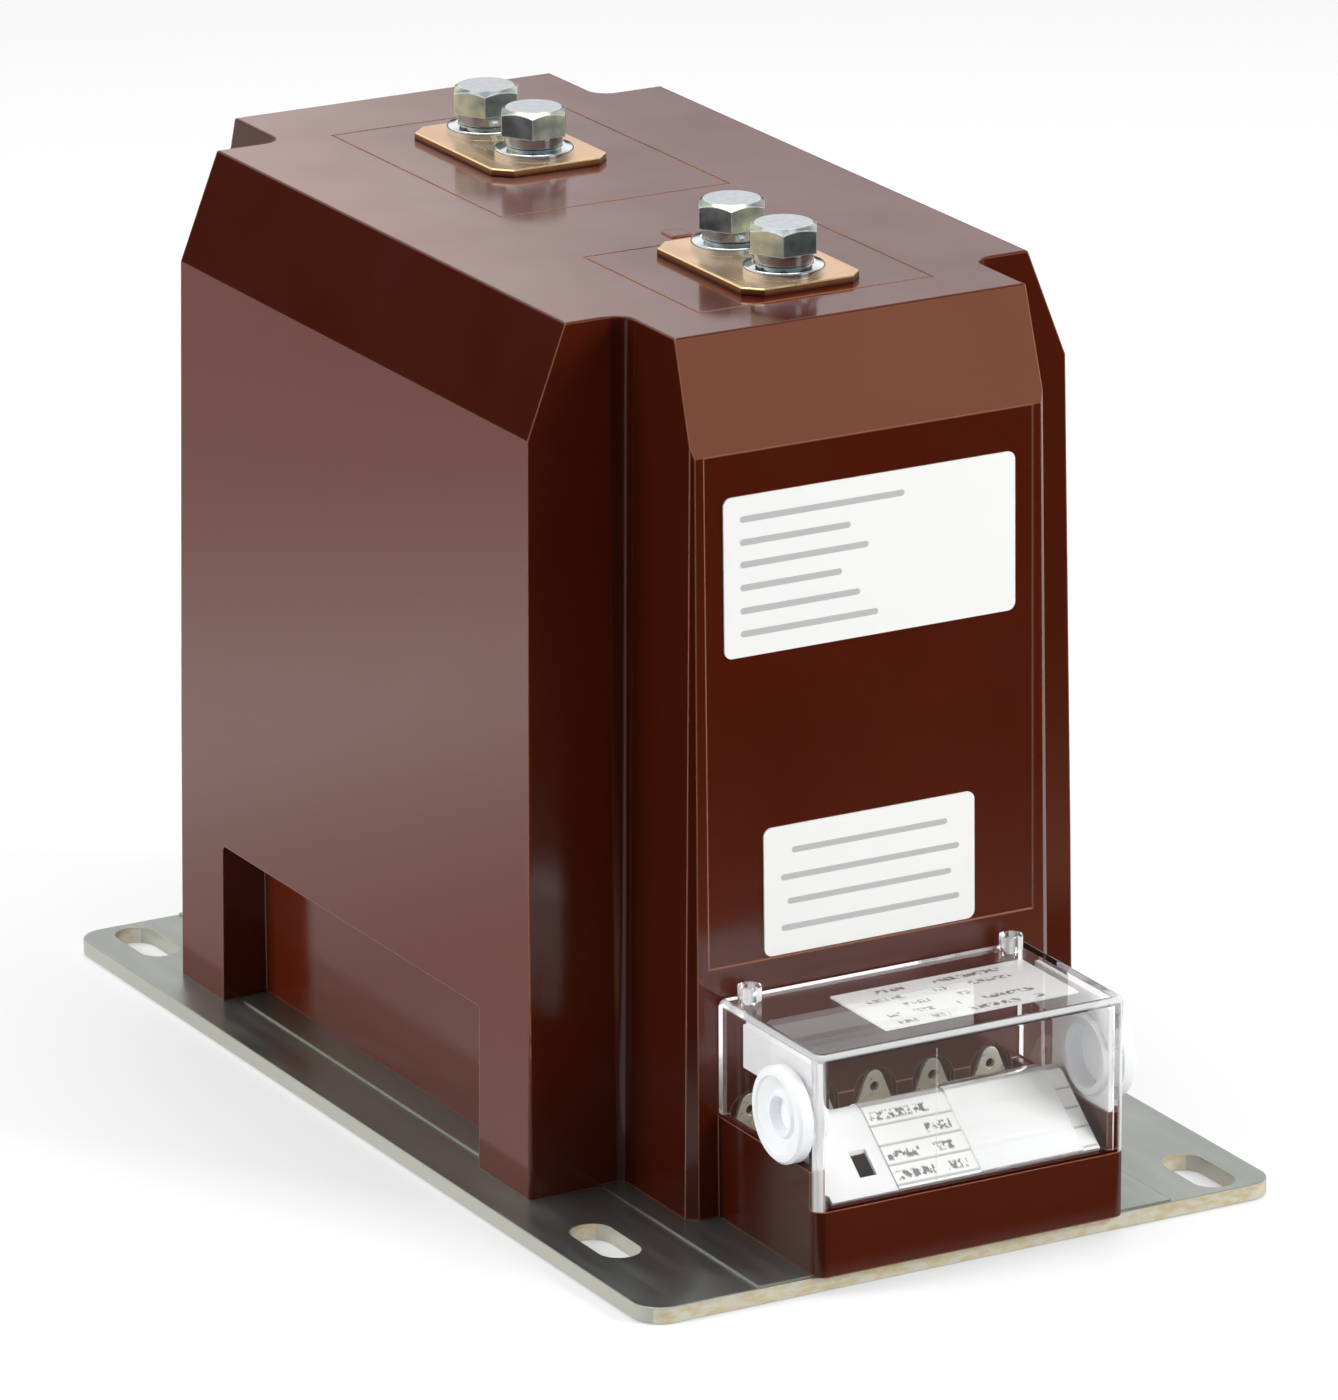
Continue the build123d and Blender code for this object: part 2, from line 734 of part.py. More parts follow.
def lectern_layer(x_range, inner, outer, foot_level):
    """A layer of the lectern between two offsets from its outer skin.

    It bends over a round crest and slopes down until the inner skin of the lectern meets the sill.
    """
    axis_y = -wall_at(front_reach, box_floor) - lectern_rear_offset - lectern_round
    axis_z = lectern_crest_level()
    toe_y = box_front + cover_wall + lectern_front_gap
    skin = lectern_round - lectern_wall
    reach = math.hypot(axis_y - toe_y, axis_z - box_sill_top)
    lean = math.atan2(axis_z - box_sill_top, axis_y - toe_y) + math.asin(skin / reach)
    normal = (-math.sin(lean), math.cos(lean))
    run = math.sqrt(reach ** 2 - skin ** 2)
    down = (-math.cos(lean) * run, -math.sin(lean) * run)

    def crest(offset_out):
        radius = lectern_round + offset_out
        start = (axis_y + radius, axis_z)
        half_turn = (math.pi / 2.0 + lean) / 2.0
        middle = (axis_y + radius * math.cos(half_turn), axis_z + radius * math.sin(half_turn))
        end = (axis_y + radius * normal[0], axis_z + radius * normal[1])
        tail = (end[0] + down[0], end[1] + down[1])
        return start, middle, end, tail

    start_in, middle_in, end_in, tail_in = crest(inner)
    start_out, middle_out, end_out, tail_out = crest(outer)
    outline = [
        Line((start_in[0], foot_level), (start_out[0], foot_level)),
        ThreePointArc(start_out, middle_out, end_out),
        Line(end_out, tail_out),
        Line(tail_out, tail_in),
        Line(tail_in, end_in),
        ThreePointArc(end_in, middle_in, start_in),
    ]
    if foot_level < axis_z - tiny:
        outline.append(Line((start_out[0], foot_level), start_out))
        outline.append(Line(start_in, (start_in[0], foot_level)))
    face = make_face(Curve() + outline)
    layer = extrude(Plane.YZ * face, amount=x_range[1] - x_range[0])
    return Pos(x_range[0], 0, 0) * layer


def lectern_crest_level():
    return plate_thickness + lectern_rise - lectern_round


def card_lectern():
    """White moulded lectern that stands in the tray and carries the marking strip."""
    shell = lectern_layer((-lectern_half_width, lectern_half_width), -lectern_wall, 0.0, box_floor)
    hole_x = -lectern_half_width + lectern_hole_inset[0]
    hole_y = box_front + lectern_hole_inset[1]
    half_width, half_length = lectern_hole[0] / 2.0, lectern_hole[1] / 2.0
    across = (hole_x - half_width, hole_x + half_width)
    along = (hole_y - half_length, hole_y + half_length)
    return shell - block(across, along, (box_sill_top + overrun, cover_top - cover_wall))


def marking_strip():
    reach = (strip_right - strip_length, strip_right)
    return lectern_layer(reach, 0.0, strip_thickness, lectern_crest_level())


def strip_window():
    reach = (window_right - window_length, window_right)
    low = strip_thickness + window_air
    return lectern_layer(reach, low, low + window_thickness, lectern_crest_level())


def marking_card():
    """Card held just under the top of the cover."""
    top = cover_top - cover_wall - card_air
    along = (box_front + card_front_inset, cover_rear - card_rear_inset)
    return block((card_right - card_length, card_right), along, (top - card_thickness, top))


def face_plate(size, centre):
    """Blank plate that lies in the shallow field of the front face."""
    x, z = centre
    down = (chamfer_level - z) / math.cos(math.radians(draft_angle))
    outline = Pos(x, -down) * RectangleRounded(size[0], size[1], label_corner_radius)
    return extrude(front_face * Pos(0, 0, -panel_depth) * outline, amount=label_thickness)


def group(shapes):
    """Separate solids kept together in one file."""
    return Compound(children=list(shapes))


def main():
    os.makedirs("parts", exist_ok=True)
    right_plate = entry_plate()
    right_grommet = grommet()
    pieces = {
        "resin_body": resin_body(),
        "base_plate": base_plate(),
        "base_screws": group(base_screw(x, y) for x, y in base_screw_places()),
        "base_inserts": group(base_insert(x, y) for x, y in base_screw_places()),
        "terminal_cover": terminal_cover(),
        "right_entry_plate": right_plate,
        "left_entry_plate": mirror(right_plate, about=Plane.YZ),
        "right_grommet": right_grommet,
        "left_grommet": mirror(right_grommet, about=Plane.YZ),
        "secondary_terminal_tabs": group(terminal_tab(x) for x in terminal_xs),
        "secondary_terminal_washers": group(terminal_washer(x) for x in terminal_xs),
        "secondary_terminal_screws": group(terminal_screw(x) for x in terminal_xs),
        "secondary_terminal_inserts": group(terminal_insert(x) for x in terminal_xs),
        "card_lectern": card_lectern(),
        "marking_strip": marking_strip(),
        "strip_window": strip_window(),
        "marking_card": marking_card(),
        "rating_plate": face_plate(rating_plate_size, rating_plate_centre),
        "small_plate": face_plate(small_plate_size, small_plate_centre),
    }
    for name, y in (("front", front_bar_y), ("rear", rear_bar_y)):
        places = bolt_places(y)
        pieces[name + "_primary_bar"] = primary_bar(y)
        pieces[name + "_bolts"] = group(hexagon_bolt(*place) for place in places)
        pieces[name + "_plain_washers"] = group(plain_washer(*place) for place in places)
        pieces[name + "_lock_washers"] = group(lock_washer(*place) for place in places)
    for name, shape in pieces.items():
        export_step(shape, "parts/" + name + ".step")


main()
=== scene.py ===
"""Cast resin block type instrument transformer: finishes, print, studio and camera."""
import bmesh
import bpy
import json
import math
from mathutils import Matrix, Vector

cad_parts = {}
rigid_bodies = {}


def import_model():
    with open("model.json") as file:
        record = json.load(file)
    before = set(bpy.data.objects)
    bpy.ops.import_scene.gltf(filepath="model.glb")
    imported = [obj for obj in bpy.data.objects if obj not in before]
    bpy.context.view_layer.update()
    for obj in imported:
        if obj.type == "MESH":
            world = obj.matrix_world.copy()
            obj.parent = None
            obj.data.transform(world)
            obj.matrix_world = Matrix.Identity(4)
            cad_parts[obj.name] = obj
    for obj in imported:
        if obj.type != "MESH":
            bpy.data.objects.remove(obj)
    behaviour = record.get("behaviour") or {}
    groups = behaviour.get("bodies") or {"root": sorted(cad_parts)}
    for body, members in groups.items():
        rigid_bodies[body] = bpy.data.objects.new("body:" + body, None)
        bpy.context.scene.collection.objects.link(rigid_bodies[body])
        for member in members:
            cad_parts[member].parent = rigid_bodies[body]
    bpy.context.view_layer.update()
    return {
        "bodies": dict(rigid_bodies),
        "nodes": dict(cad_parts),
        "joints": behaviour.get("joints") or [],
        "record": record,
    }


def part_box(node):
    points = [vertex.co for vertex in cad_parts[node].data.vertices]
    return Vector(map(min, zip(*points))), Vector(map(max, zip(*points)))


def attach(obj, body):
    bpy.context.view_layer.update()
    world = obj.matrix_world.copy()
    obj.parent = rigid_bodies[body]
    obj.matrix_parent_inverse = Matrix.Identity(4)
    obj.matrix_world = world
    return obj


MM = 0.001

# Front face of the casting, which leans back a little, in millimetres
FACE_REACH = 126.0
FACE_LEVEL = 233.0
FACE_DRAFT = math.radians(0.8)

# Grey lines on the two plates of the front face, in millimetres. Each line is its left and its
# right end from the plate's left edge, and its place down the plate from 0 to 1.
PLATE_PROUD = 0.2
LINE_PROUD = 0.05
LINE_SEGMENTS = 24
RATING_LINE_WIDTH = 1.9
RATING_LINES = [
    (5.3, 59.2, 0.144), (5.3, 41.4, 0.287), (5.3, 47.3, 0.426),
    (5.3, 38.5, 0.569), (5.3, 44.4, 0.713), (5.3, 50.3, 0.856),
]
SMALL_LINE_WIDTH = 1.8
SMALL_LINES = [(9.2, 60.8, 0.198), (5.6, 64.8, 0.401), (7.7, 62.1, 0.593), (5.6, 64.8, 0.796)]

# Raised line that the mould leaves on the front of the clear cover, in millimetres
MOULD_LINE_WIDTH = 0.35
MOULD_LINE_THICKNESS = 0.16
MOULD_LINE_LENGTH = 40.0
MOULD_LINE_PROUD = 0.10
MOULD_LINE_BEVEL = 0.06
MOULD_LINE_X = -12.2
MOULD_LINE_Z = 48.0

# Places on the part that a finish follows, in metres
WING_INNER_X = 0.072
PLATE_TOP_Z = 0.00505
BAR_FLANK_LOW_Z = 0.2664
BAR_FLANK_HIGH_Z = 0.2674
SCREW_ROW_Y = -0.047
SCREW_SPACING = 0.03

# How well the softened normal has to match the surface's own: at the first value and under it
# a point is all edge, and at the second it is none
BROAD_EDGE = (0.940, 0.985)
FINE_EDGE = (0.970, 0.998)

# Print on the strip and the card: noise per metre along a row, and the step from row to row
PRINT_GRAIN = 620.0
PRINT_ROW_STEP = 7.3

# Floor, in metres: its size, how far under the part it lies and how far from the middle the
# light that shiny faces see of it is drawn
FLOOR_SIZE = 12.0
FLOOR_DROP = 0.0002
FLOOR_REACH = 0.8

# Camera, fitted to the photograph
CAMERA_PLACE = (-1.357958, -2.443315, 1.033792)
CAMERA_YAW = 29.148991
CAMERA_PITCH = 18.157399
CAMERA_ROLL = -0.257201
CAMERA_LENS = 265.817
SENSOR_WIDTH = 36.0
CAMERA_NEAR = 0.1
CAMERA_FAR = 60.0


def new_finish(name, colour, roughness, **sockets):
    """A material with one Principled shader and plain values on its sockets."""
    finish = bpy.data.materials.new(name)
    finish.use_nodes = True
    surface = finish.node_tree.nodes["Principled BSDF"]
    surface.inputs["Base Color"].default_value = (*colour, 1.0)
    surface.inputs["Roughness"].default_value = roughness
    for socket, value in sockets.items():
        surface.inputs[socket.replace("_", " ")].default_value = value
    return finish, finish.node_tree, surface


def node(tree, kind, **values):
    """A shader node with its options set."""
    made = tree.nodes.new("ShaderNode" + kind)
    for option, value in values.items():
        setattr(made, option, value)
    return made


def split_axes(tree, vector):
    """The parts of a vector along the axes."""
    split = node(tree, "SeparateXYZ")
    tree.links.new(vector, split.inputs["Vector"])
    return split.outputs


def coordinates(tree, stretch=(1.0, 1.0, 1.0)):
    """Object coordinates in metres, stretched for a pattern."""
    place = node(tree, "TexCoord")
    mapping = node(tree, "Mapping")
    mapping.inputs["Scale"].default_value = stretch
    tree.links.new(place.outputs["Object"], mapping.inputs["Vector"])
    return mapping.outputs["Vector"]


def object_place(tree):
    """Object coordinates split along the axes."""
    return split_axes(tree, coordinates(tree))


def facing(tree):
    """The surface normal split along the axes of the object."""
    return split_axes(tree, node(tree, "NewGeometry").outputs["True Normal"])


def mottle(tree, scale, detail=3.0, stretch=(1.0, 1.0, 1.0)):
    """A noise pattern over the piece, from 0 to 1."""
    grain = node(tree, "TexNoise")
    grain.inputs["Scale"].default_value = scale
    grain.inputs["Detail"].default_value = detail
    tree.links.new(coordinates(tree, stretch), grain.inputs["Vector"])
    return grain.outputs["Fac"]


def flat_mottle(tree, across, down, scale, detail):
    """A noise pattern read at two values, so that each row of print has its own."""
    place = node(tree, "CombineXYZ")
    tree.links.new(across, place.inputs["X"])
    tree.links.new(down, place.inputs["Y"])
    grain = node(tree, "TexNoise", noise_dimensions="2D")
    grain.inputs["Scale"].default_value = scale
    grain.inputs["Detail"].default_value = detail
    tree.links.new(place.outputs["Vector"], grain.inputs["Vector"])
    return grain.outputs["Fac"]


def remap(tree, source, low, high, start=0.3, end=0.7):
    """A value that runs from low to high while the source runs from start to end."""
    span = node(tree, "MapRange")
    span.inputs["From Min"].default_value = start
    span.inputs["From Max"].default_value = end
    span.inputs["To Min"].default_value = low
    span.inputs["To Max"].default_value = high
    tree.links.new(source, span.inputs["Value"])
    return span.outputs["Result"]


def calculate(tree, operation, first, second=None):
    """A Math node on sockets or plain numbers."""
    result = node(tree, "Math", operation=operation)
    for slot, value in enumerate((first, second)):
        if value is None:
            continue
        if isinstance(value, (int, float)):
            result.inputs[slot].default_value = value
        else:
            tree.links.new(value, result.inputs[slot])
    return result.outputs["Value"]


def times(tree, first, second):
    """One value times another, which keeps a mask only where both are 1."""
    return calculate(tree, "MULTIPLY", first, second)


def over(tree, value, limit):
    """A mask that is 1 where a value is over a limit."""
    return calculate(tree, "GREATER_THAN", value, limit)


def under(tree, value, limit):
    """A mask that is 1 where a value is under a limit."""
    return calculate(tree, "LESS_THAN", value, limit)


def unsigned(tree, value):
    """A value without its sign, the same on the left and on the right."""
    return calculate(tree, "ABSOLUTE", value)


def mix_colours(tree, factor, first, second):
    """A colour between two colours, each a plain colour or a socket."""
    mixer = node(tree, "Mix", data_type="RGBA")
    tree.links.new(factor, mixer.inputs["Factor"])
    for name, value in (("A", first), ("B", second)):
        socket = [s for s in mixer.inputs if s.name == name and s.type == "RGBA"][0]
        if isinstance(value, tuple):
            socket.default_value = (*value, 1.0)
        else:
            tree.links.new(value, socket)
    return [s for s in mixer.outputs if s.type == "RGBA"][0]


def ramp(tree, source, stops):
    """A run of colours over a value; each stop is a place from 0 to 1 and its colour."""
    scale = node(tree, "ValToRGB")
    band = scale.color_ramp
    band.elements[0].position = stops[0][0]
    band.elements[1].position = stops[-1][0]
    for place, colour in stops[1:-1]:
        band.elements.new(place).color = (*colour, 1.0)
    band.elements[0].color = (*stops[0][1], 1.0)
    band.elements[-1].color = (*stops[-1][1], 1.0)
    tree.links.new(source, scale.inputs["Fac"])
    return scale.outputs["Color"]


def soft_normal(tree, radius):
    """A normal that is softened over sharp edges, as if they were rounded."""
    softened = node(tree, "Bevel", samples=5)
    softened.inputs["Radius"].default_value = radius
    return softened.outputs["Normal"]


def edge_mask(tree, normal, limits):
    """How much of an edge each point is: 1 where the softened normal leaves the surface's own."""
    sharp, smooth = limits
    match = node(tree, "VectorMath", operation="DOT_PRODUCT")
    tree.links.new(normal, match.inputs[0])
    tree.links.new(node(tree, "NewGeometry").outputs["True Normal"], match.inputs[1])
    return remap(tree, match.outputs["Value"], 1.0, 0.0, sharp, smooth)


def relief(tree, surface, height, strength, distance, normal=None):
    """Bump from a pattern, over the surface's own normal or a softened one."""
    bump = node(tree, "Bump")
    bump.inputs["Strength"].default_value = strength
    bump.inputs["Distance"].default_value = distance
    tree.links.new(height, bump.inputs["Height"])
    if normal:
        tree.links.new(normal, bump.inputs["Normal"])
    tree.links.new(bump.outputs["Normal"], surface.inputs["Normal"])


def plain_shader(tree, kind, colour, strength=None):
    """A shader of one colour, with a strength where it gives light."""
    shader = node(tree, kind)
    shader.inputs["Color"].default_value = (*colour, 1.0)
    if strength is not None:
        shader.inputs["Strength"].default_value = strength
    return shader


def mix_shaders(tree, factor, first, second):
    """A shader between two shaders, by a plain number or a socket."""
    mixer = node(tree, "MixShader")
    if isinstance(factor, float):
        mixer.inputs["Fac"].default_value = factor
    else:
        tree.links.new(factor, mixer.inputs["Fac"])
    tree.links.new(first, mixer.inputs[1])
    tree.links.new(second, mixer.inputs[2])
    return mixer.outputs["Shader"]


def resin_painted_side_light(tree, place, turned, clouded):
    """Painted shade where the resin turns to the side, and painted light, a warmer red, on the flat
    sides of the wings.
    """
    painted_side_shade = (0.042, 0.0055, 0.0016)
    painted_wing_light = (0.090, 0.0115, 0.0035)
    turned_aside = 0.3
    flat_side = 0.985
    sideways = unsigned(tree, turned["X"])
    # Painted shade on faces turned to the side, and painted light on the flat sides of the wings
    side_shaded = mix_colours(tree, over(tree, sideways, turned_aside), clouded, painted_side_shade)
    far_out = over(tree, unsigned(tree, place["X"]), WING_INNER_X)
    wing_side = times(tree, over(tree, sideways, flat_side), far_out)
    return mix_colours(tree, wing_side, side_shaded, painted_wing_light)


def resin_top_highlight(tree, place):
    """Painted highlight on the top, strong at the left and the rear, and faint at the front right.
    """
    painted_strong_highlight = (0.240, 0.145, 0.130)
    painted_faint_highlight = (0.064, 0.004, 0.002)
    drift = 0.35
    thick_end = -0.13
    thin_end = 0.015
    diagonal = calculate(tree, "SUBTRACT", place["X"], times(tree, place["Y"], drift))
    swept = remap(tree, diagonal, 0.0, 1.0, thick_end, thin_end)
    return mix_colours(tree, swept, painted_strong_highlight, painted_faint_highlight)


def cast_resin():
    """Red brown epoxy, polished by the mould: satin slope, painted highlight on the top, painted
    shade and light on the sides, and a painted highlight along the edges.
    """
    resin_brown = (0.067, 0.0088, 0.0027)
    deep_brown = (0.063, 0.0080, 0.0022)
    red_brown = (0.072, 0.0098, 0.0033)
    satin_brown = (0.152, 0.042, 0.016)
    painted_edge_highlight = (0.50, 0.220, 0.130)
    top_up = 0.97
    slope_front = -0.90
    slope_up = 0.15
    slope_dullness = 0.24
    highlight_share = 0.8
    finish, tree, surface = new_finish("cast_resin", resin_brown, 0.14)
    surface.inputs["Specular Tint"].default_value = (1.0, 0.93, 0.92, 1.0)
    normal = soft_normal(tree, radius=0.0006)
    place = object_place(tree)
    turned = facing(tree)

    cloud = remap(tree, mottle(tree, scale=22.0, detail=4.0), 0.0, 1.0)
    clouded = mix_colours(tree, cloud, deep_brown, red_brown)
    sides = resin_painted_side_light(tree, place, turned, clouded)
    # Painted highlight on the top, strongest at the left and the rear
    on_top = over(tree, turned["Z"], top_up)
    top_highlighted = mix_colours(tree, on_top, sides, resin_top_highlight(tree, place))
    slope = times(tree, under(tree, turned["Y"], slope_front), over(tree, turned["Z"], slope_up))
    satin = mix_colours(tree, slope, top_highlighted, satin_brown)
    # Painted highlight along the edges
    edge_highlight = times(tree, edge_mask(tree, normal, BROAD_EDGE), highlight_share)
    colour = mix_colours(tree, edge_highlight, satin, painted_edge_highlight)
    tree.links.new(colour, surface.inputs["Base Color"])

    polish = remap(tree, mottle(tree, scale=35.0, detail=5.0), 0.10, 0.17)
    roughness = calculate(tree, "ADD", polish, times(tree, slope, slope_dullness))
    tree.links.new(roughness, surface.inputs["Roughness"])
    relief(tree, surface, mottle(tree, scale=900.0), strength=0.035, distance=0.0002, normal=normal)
    return finish


def plated_sheet():
    """Yellow passivated zinc on rolled steel: grey streaked top, pale edges with a painted sheen on
    those facing along X, and a painted golden highlight on the rims.
    """
    sheet_grey = (0.6, 0.62, 0.59)
    dark_streak = (0.34, 0.395, 0.375)
    light_streak = (0.44, 0.48, 0.455)
    top_tint = (0.39, 0.42, 0.38)
    edge_silver = (0.74, 0.74, 0.62)
    edge_gold = (0.70, 0.60, 0.36)
    painted_side_sheen = (0.54, 0.56, 0.49)
    painted_gold_highlight = (0.74, 0.66, 0.40)
    metal = 0.93
    edge_metal = 0.50
    steep = 0.6
    highlight_share = 0.8
    finish, tree, surface = new_finish("plated_sheet", sheet_grey, 0.36, Metallic=metal)
    normal = soft_normal(tree, radius=0.0004)
    turned = facing(tree)

    streaks = mottle(tree, scale=60.0, detail=6.0, stretch=(1.0, 0.12, 1.0))
    streaked = mix_colours(tree, remap(tree, streaks, 0.0, 1.0), dark_streak, light_streak)
    tint = remap(tree, mottle(tree, scale=9.0), 0.0, 1.0, 0.35, 0.65)
    top = mix_colours(tree, tint, streaked, top_tint)

    below_top = under(tree, object_place(tree)["Z"], PLATE_TOP_Z)
    on_edge = times(tree, under(tree, unsigned(tree, turned["Z"]), steep), below_top)
    bands = mottle(tree, scale=220.0, detail=4.0, stretch=(1.0, 1.0, 2.5))
    golden = mix_colours(tree, remap(tree, bands, 0.0, 1.0, 0.42, 0.62), edge_silver, edge_gold)
    # Edges facing along X get a greyer colour, a painted sheen
    pale = mix_colours(tree, over(tree, unsigned(tree, turned["X"]), steep), golden, painted_side_sheen)
    sheet = mix_colours(tree, on_edge, top, pale)

    # Painted golden highlight along the rim of the top
    rim = times(tree, times(tree, edge_mask(tree, normal, BROAD_EDGE), below_top), highlight_share)
    tree.links.new(mix_colours(tree, rim, sheet, painted_gold_highlight), surface.inputs["Base Color"])
    metallic = remap(tree, on_edge, metal, edge_metal, 0.0, 1.0)
    tree.links.new(metallic, surface.inputs["Metallic"])
    brush = mottle(tree, scale=140.0, detail=5.0, stretch=(1.0, 0.2, 1.0))
    tree.links.new(remap(tree, brush, 0.28, 0.42), surface.inputs["Roughness"])
    relief(tree, surface, mottle(tree, scale=1400.0), strength=0.06, distance=0.0001, normal=normal)
    return finish


def terminal_bronze():
    """Bare copper alloy bar: brushed pink top, sides with painted shade that is darkest at their
    foot, and a painted golden highlight on the thin rim.
    """
    bar_bronze = (0.76, 0.5, 0.34)
    stained_pink = (0.78, 0.53, 0.34)
    clean_pink = (0.90, 0.67, 0.45)
    flank_shade_foot = (0.14, 0.050, 0.020)
    flank_shade_top = (0.56, 0.29, 0.14)
    painted_gold_highlight = (1.0, 0.78, 0.42)
    side_up = 0.3
    chamfer_up = 0.7
    chamfer_span = 0.2
    finish, tree, surface = new_finish("terminal_bronze", bar_bronze, 0.3, Metallic=1.0)
    up = facing(tree)["Z"]

    stain = remap(tree, mottle(tree, scale=55.0, detail=4.0), 0.0, 1.0)
    face = mix_colours(tree, stain, stained_pink, clean_pink)
    # Painted shade on the sides, darkest at their foot
    height = object_place(tree)["Z"]
    rise = remap(tree, height, 0.0, 1.0, BAR_FLANK_LOW_Z, BAR_FLANK_HIGH_Z)
    shaded_flank = mix_colours(tree, rise, flank_shade_foot, flank_shade_top)
    bar = mix_colours(tree, under(tree, up, side_up), face, shaded_flank)

    # The chamfer round the top leans by 45 degrees, and the Z part of its normal is about 0.7
    off_chamfer = unsigned(tree, calculate(tree, "SUBTRACT", up, chamfer_up))
    # Painted golden highlight on the chamfer
    colour = mix_colours(tree, under(tree, off_chamfer, chamfer_span), bar, painted_gold_highlight)
    tree.links.new(colour, surface.inputs["Base Color"])
    brush = mottle(tree, scale=260.0, detail=5.0, stretch=(1.0, 0.03, 1.0))
    tree.links.new(remap(tree, brush, 0.24, 0.40), surface.inputs["Roughness"])
    normal = soft_normal(tree, radius=0.0002)
    relief(tree, surface, brush, strength=0.10, distance=0.0001, normal=normal)
    return finish


def plated_screw():
    """Blue passivated screw: each flat has its own painted reflection, and the rims have a painted
    highlight.
    """
    screw_grey = (0.5, 0.55, 0.57)
    crown_blue = (0.50, 0.56, 0.59)
    painted_bright_highlight = (0.92, 0.95, 0.96)
    painted_flat_reflections = [
        (0.0, (0.09, 0.105, 0.11)), (0.45, (0.24, 0.28, 0.285)),
        (0.72, (0.50, 0.57, 0.44)), (1.0, (0.84, 0.88, 0.58)),
    ]
    flat_side = 0.866
    crown_up = 0.95
    finish, tree, surface = new_finish("plated_screw", screw_grey, 0.18, Metallic=0.65)
    normal = soft_normal(tree, radius=0.0005)
    turned = facing(tree)

    # The painted reflection swings from flat to flat, and starts elsewhere on the next screw along
    # Y
    turn = calculate(tree, "ADD", calculate(tree, "DIVIDE", turned["X"], flat_side), 1.0)
    ahead = calculate(tree, "SUBTRACT", SCREW_ROW_Y, object_place(tree)["Y"])
    row = calculate(tree, "DIVIDE", ahead, SCREW_SPACING)
    swing = calculate(tree, "PINGPONG", calculate(tree, "ADD", turn, row), 1.0)
    cloud = remap(tree, mottle(tree, scale=180.0), -0.2, 0.2)
    reflected_flats = ramp(tree, calculate(tree, "ADD", swing, cloud), painted_flat_reflections)

    head = mix_colours(tree, over(tree, turned["Z"], crown_up), reflected_flats, crown_blue)
    # Painted highlight on the rims
    edge = edge_mask(tree, normal, FINE_EDGE)
    tree.links.new(mix_colours(tree, edge, head, painted_bright_highlight), surface.inputs["Base Color"])
    roughness = remap(tree, mottle(tree, scale=420.0, detail=4.0), 0.13, 0.26)
    tree.links.new(roughness, surface.inputs["Roughness"])
    relief(tree, surface, mottle(tree, scale=900.0), strength=0.05, distance=0.0001, normal=normal)
    return finish


def bright_zinc(name, cool, warm, roughness, metallic=1.0):
    """Blue passivated zinc with a faint play of yellow and green, and a painted highlight on the
    rims.
    """
    painted_bright_highlight = (0.93, 0.96, 0.97)
    finish, tree, surface = new_finish(name, cool, roughness, Metallic=metallic)
    normal = soft_normal(tree, radius=0.0004)
    film = remap(tree, mottle(tree, scale=70.0), 0.0, 1.0, 0.38, 0.62)
    colour = mix_colours(tree, film, cool, warm)
    # Painted highlight on the rims
    edge = edge_mask(tree, normal, FINE_EDGE)
    tree.links.new(mix_colours(tree, edge, colour, painted_bright_highlight), surface.inputs["Base Color"])
    worn = remap(tree, mottle(tree, scale=420.0, detail=4.0), roughness * 0.8, roughness * 1.4)
    tree.links.new(worn, surface.inputs["Roughness"])
    relief(tree, surface, mottle(tree, scale=900.0), strength=0.05, distance=0.0001, normal=normal)
    return finish


def turned_brass():
    """Machined brass of the cast-in inserts."""
    finish, tree, surface = new_finish("turned_brass", (0.78, 0.60, 0.27), 0.3, Metallic=1.0)
    rings = mottle(tree, scale=500.0, detail=2.0, stretch=(0.05, 0.05, 1.0))
    tree.links.new(remap(tree, rings, 0.22, 0.38), surface.inputs["Roughness"])
    return finish


def clear_moulding(name, tint, bend):
    """Clear plastic that lets light through to what it covers, whitish along its edges as a painted
    highlight.
    """
    edge_clearness = 0.42
    edge_turn = 0.88
    wall_turn = 0.995
    shadow_tint = (0.95, 0.95, 0.95)
    finish, tree, surface = new_finish(name, tint, 0.02, IOR=bend)

    # A flat wall has one part of its normal near 1, and a rounded edge has none
    turned = facing(tree)
    largest = 0.0
    for axis in "XYZ":
        largest = calculate(tree, "MAXIMUM", unsigned(tree, turned[axis]), largest)
    # Rounded edges turn partly white: a painted highlight
    rounded = remap(tree, largest, 1.0, 0.0, edge_turn, wall_turn)
    clearness = remap(tree, rounded, 1.0, edge_clearness, 0.0, 1.0)
    tree.links.new(clearness, surface.inputs["Transmission Weight"])
    haze = remap(tree, mottle(tree, scale=60.0), 0.0, 0.03)
    tree.links.new(haze, surface.inputs["Roughness"])

    through = plain_shader(tree, "BsdfTransparent", shadow_tint)
    ray = node(tree, "LightPath")
    lit = calculate(tree, "MAXIMUM", ray.outputs["Is Shadow Ray"], ray.outputs["Is Diffuse Ray"])
    either = mix_shaders(tree, lit, surface.outputs["BSDF"], through.outputs["BSDF"])
    tree.links.new(either, tree.nodes["Material Output"].inputs["Surface"])
    return finish


def white_moulding(name, colour, roughness, glow):
    """White plastic that lets a little light in."""
    finish, tree, surface = new_finish(name, colour, roughness)
    surface.inputs["Subsurface Weight"].default_value = glow
    surface.inputs["Subsurface Radius"].default_value = (0.003, 0.003, 0.0032)
    surface.inputs["Subsurface Scale"].default_value = 1.0
    worn = remap(tree, mottle(tree, scale=160.0, detail=4.0), roughness * 0.85, roughness * 1.2)
    tree.links.new(worn, surface.inputs["Roughness"])
    relief(tree, surface, mottle(tree, scale=700.0), strength=0.05, distance=0.0001)
    return finish


